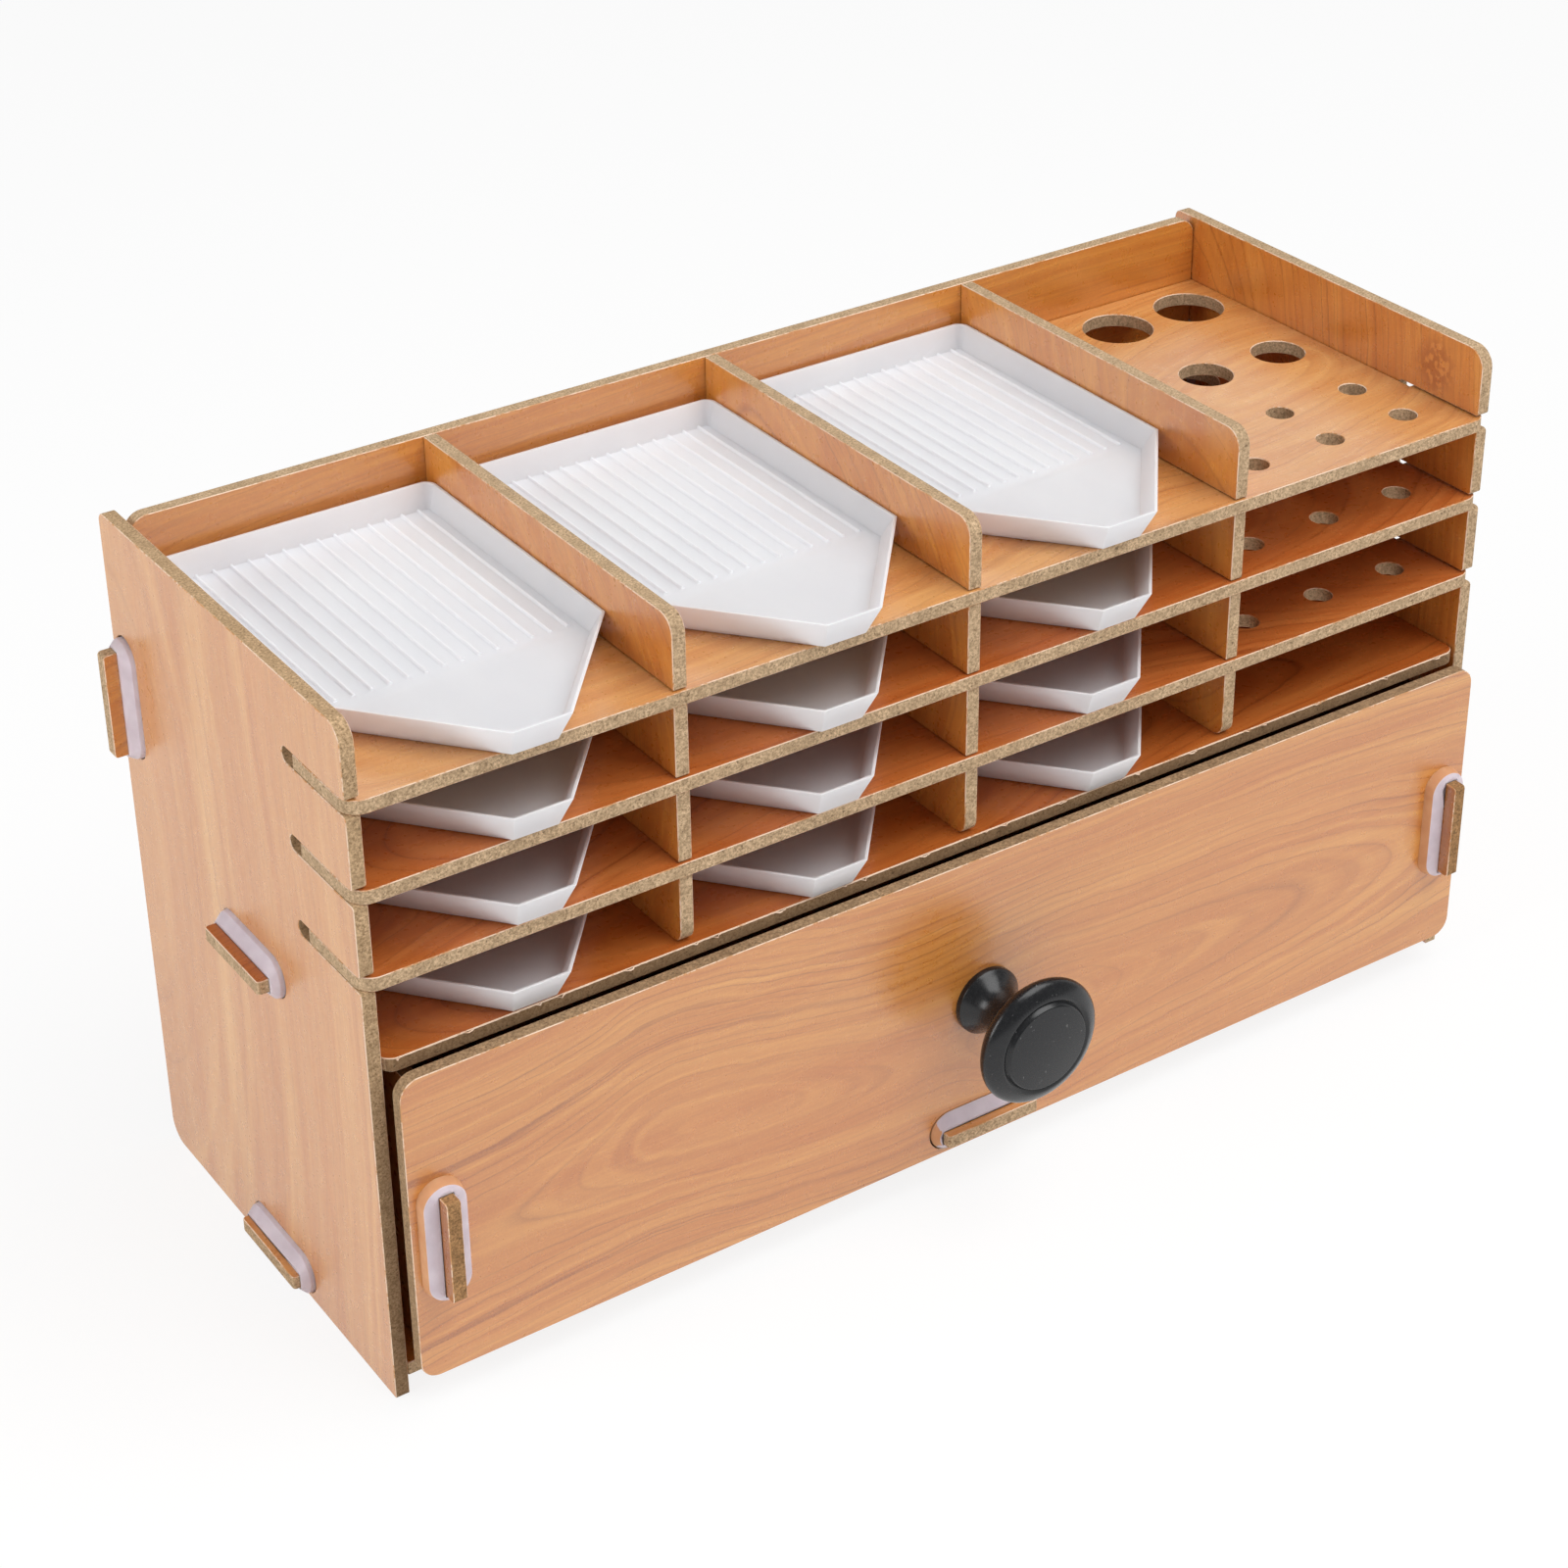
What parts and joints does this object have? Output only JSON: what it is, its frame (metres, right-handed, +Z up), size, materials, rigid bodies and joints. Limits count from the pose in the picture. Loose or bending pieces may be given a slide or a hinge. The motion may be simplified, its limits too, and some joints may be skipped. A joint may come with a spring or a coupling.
{
  "type": "craft organizer with pouring trays and a drawer",
  "caption": "Free-standing board organizer with shelves of sliding pouring trays, a column of tool holes and a wide drawer with a mushroom knob below.",
  "frame": {"origin": "under the middle of the whole part's box, on the surface that it stands on", "axes": "+X to the right along the drawer front, +Y from the front to the back, +Z up"},
  "size_m": [0.2834, 0.1278, 0.15],
  "materials": {
    "board": "thin fibreboard with a wood-grain paper on its faces and bare cut edges",
    "soft_ring": "milky soft silicone",
    "tray": "smooth moulded",
    "knob": "black satin",
    "screw": "plain zinc"
  },
  "bodies": {
    "case": {"left_side_panel": "board", "right_side_panel": "board", "back_panel": "board", "bottom_panel": "board", "drawer_roof": "board", "lower_shelf": "board", "middle_shelf": "board", "top_shelf": "board", "left_divider": "board", "middle_divider": "board", "right_divider": "board", "ring_back_left": "soft_ring", "ring_back_right": "soft_ring", "ring_roof_left": "soft_ring", "ring_roof_right": "soft_ring", "ring_bottom_left": "soft_ring", "ring_bottom_right": "soft_ring"},
    "drawer": {"drawer_front": "board", "drawer_left_side": "board", "drawer_right_side": "board", "drawer_back": "board", "drawer_bottom": "board", "drawer_knob": "knob", "knob_screw": "screw", "ring_drawer_front_left": "soft_ring", "ring_drawer_front_middle": "soft_ring", "ring_drawer_front_right": "soft_ring", "ring_drawer_back_left": "soft_ring", "ring_drawer_back_middle": "soft_ring", "ring_drawer_back_right": "soft_ring"},
    "tray_top_left": {"tray_top_left": "tray"},
    "tray_top_middle": {"tray_top_middle": "tray"},
    "tray_top_right": {"tray_top_right": "tray"},
    "tray_second_left": {"tray_second_left": "tray"},
    "tray_second_middle": {"tray_second_middle": "tray"},
    "tray_second_right": {"tray_second_right": "tray"},
    "tray_third_left": {"tray_third_left": "tray"},
    "tray_third_middle": {"tray_third_middle": "tray"},
    "tray_third_right": {"tray_third_right": "tray"},
    "tray_fourth_left": {"tray_fourth_left": "tray"},
    "tray_fourth_middle": {"tray_fourth_middle": "tray"},
    "tray_fourth_right": {"tray_fourth_right": "tray"}
  },
  "joints": [
    {"name": "drawer_slide", "type": "slide", "parent": "case", "child": "drawer", "axis": [0, -1, 0], "range_m": [-0.0022, 0.07]},
    {"name": "tray_top_left_slide", "type": "slide", "parent": "case", "child": "tray_top_left", "axis": [0, -1, 0], "range_m": [-0.0021, 0.085]},
    {"name": "tray_top_middle_slide", "type": "slide", "parent": "case", "child": "tray_top_middle", "axis": [0, -1, 0], "range_m": [-0.0018, 0.085]},
    {"name": "tray_top_right_slide", "type": "slide", "parent": "case", "child": "tray_top_right", "axis": [0, -1, 0], "range_m": [-0.0008, 0.085]},
    {"name": "tray_second_left_slide", "type": "slide", "parent": "case", "child": "tray_second_left", "axis": [0, -1, 0], "range_m": [-0.0008, 0.085]},
    {"name": "tray_second_middle_slide", "type": "slide", "parent": "case", "child": "tray_second_middle", "axis": [0, -1, 0], "range_m": [-0.0012, 0.085]},
    {"name": "tray_second_right_slide", "type": "slide", "parent": "case", "child": "tray_second_right", "axis": [0, -1, 0], "range_m": [-0.0004, 0.085]},
    {"name": "tray_third_left_slide", "type": "slide", "parent": "case", "child": "tray_third_left", "axis": [0, -1, 0], "range_m": [-0.0004, 0.085]},
    {"name": "tray_third_middle_slide", "type": "slide", "parent": "case", "child": "tray_third_middle", "axis": [0, -1, 0], "range_m": [-0.0004, 0.085]},
    {"name": "tray_third_right_slide", "type": "slide", "parent": "case", "child": "tray_third_right", "axis": [0, -1, 0], "range_m": [-0.0004, 0.085]},
    {"name": "tray_fourth_left_slide", "type": "slide", "parent": "case", "child": "tray_fourth_left", "axis": [0, -1, 0], "range_m": [-0.0001, 0.085]},
    {"name": "tray_fourth_middle_slide", "type": "slide", "parent": "case", "child": "tray_fourth_middle", "axis": [0, -1, 0], "range_m": [-0.0005, 0.085]},
    {"name": "tray_fourth_right_slide", "type": "slide", "parent": "case", "child": "tray_fourth_right", "axis": [0, -1, 0], "range_m": [-0.0006, 0.085]}
  ]
}
